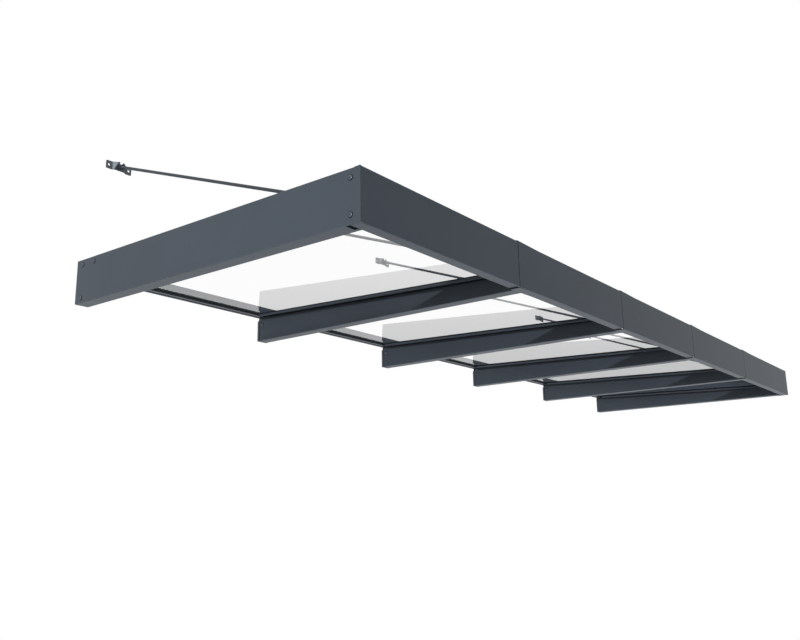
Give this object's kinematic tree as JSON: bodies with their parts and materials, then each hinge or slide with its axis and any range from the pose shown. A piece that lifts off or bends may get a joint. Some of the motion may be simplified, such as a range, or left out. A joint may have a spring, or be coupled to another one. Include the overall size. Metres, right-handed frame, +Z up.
{
  "type": "door canopy",
  "caption": "Wall-fixed door canopy: clear roof sheets in a level folded-metal frame with rafters, hung by slanted tie rods from hat-section wall brackets.",
  "frame": {"origin": "on the wall plane, at the middle of the back face of the middle wall profile, halfway along the canopy", "axes": "+X along the wall to the right as seen from in front, +Y into the wall, +Z up"},
  "size_m": [3.011, 0.92, 0.4036],
  "materials": {
    "powder_coat": "satin dark grey powder coat on folded aluminium",
    "bar": "satin dark grey powder coat on extruded aluminium",
    "end_cap": "matt dark grey moulded plastic",
    "clear_sheet": "clear, see-through, polished",
    "gasket": "matt black rubber",
    "rod": "satin dark grey paint on steel"
  },
  "bodies": {
    "root": {"side_panel_left": "powder_coat", "side_panel_right": "powder_coat", "fascia_1": "powder_coat", "fascia_2": "powder_coat", "fascia_3": "powder_coat", "fascia_4": "powder_coat", "fascia_5": "powder_coat", "rafter_cover_1": "powder_coat", "rafter_cover_2": "powder_coat", "rafter_cover_3": "powder_coat", "rafter_cover_4": "powder_coat", "rafter_end_cap_1": "end_cap", "rafter_end_cap_2": "end_cap", "rafter_end_cap_3": "end_cap", "rafter_end_cap_4": "end_cap", "glazing_bar_1": "bar", "glazing_bar_2": "bar", "glazing_bar_3": "bar", "glazing_bar_4": "bar", "edge_bar_left": "bar", "edge_bar_right": "bar", "wall_profile_1": "bar", "wall_profile_2": "bar", "wall_profile_3": "bar", "wall_profile_4": "bar", "wall_profile_5": "bar", "wall_angle_left": "powder_coat", "wall_angle_right": "powder_coat", "corner_angle_left": "powder_coat", "corner_angle_right": "powder_coat", "roof_sheet_1": "clear_sheet", "roof_sheet_2": "clear_sheet", "roof_sheet_3": "clear_sheet", "roof_sheet_4": "clear_sheet", "roof_sheet_5": "clear_sheet", "sheet_gasket_1": "gasket", "sheet_gasket_2": "gasket", "sheet_gasket_3": "gasket", "sheet_gasket_4": "gasket", "sheet_gasket_5": "gasket", "tie_rod_1": "rod", "tie_rod_2": "rod", "tie_rod_3": "rod", "tie_rod_4": "rod", "tie_rod_5": "rod", "tie_rod_6": "rod", "wall_bracket_1": "rod", "wall_bracket_2": "rod", "wall_bracket_3": "rod", "wall_bracket_4": "rod", "wall_bracket_5": "rod", "wall_bracket_6": "rod", "front_bracket_1": "rod", "front_bracket_2": "rod", "front_bracket_3": "rod", "front_bracket_4": "rod", "front_bracket_5": "rod", "front_bracket_6": "rod"}
  },
  "joints": []
}
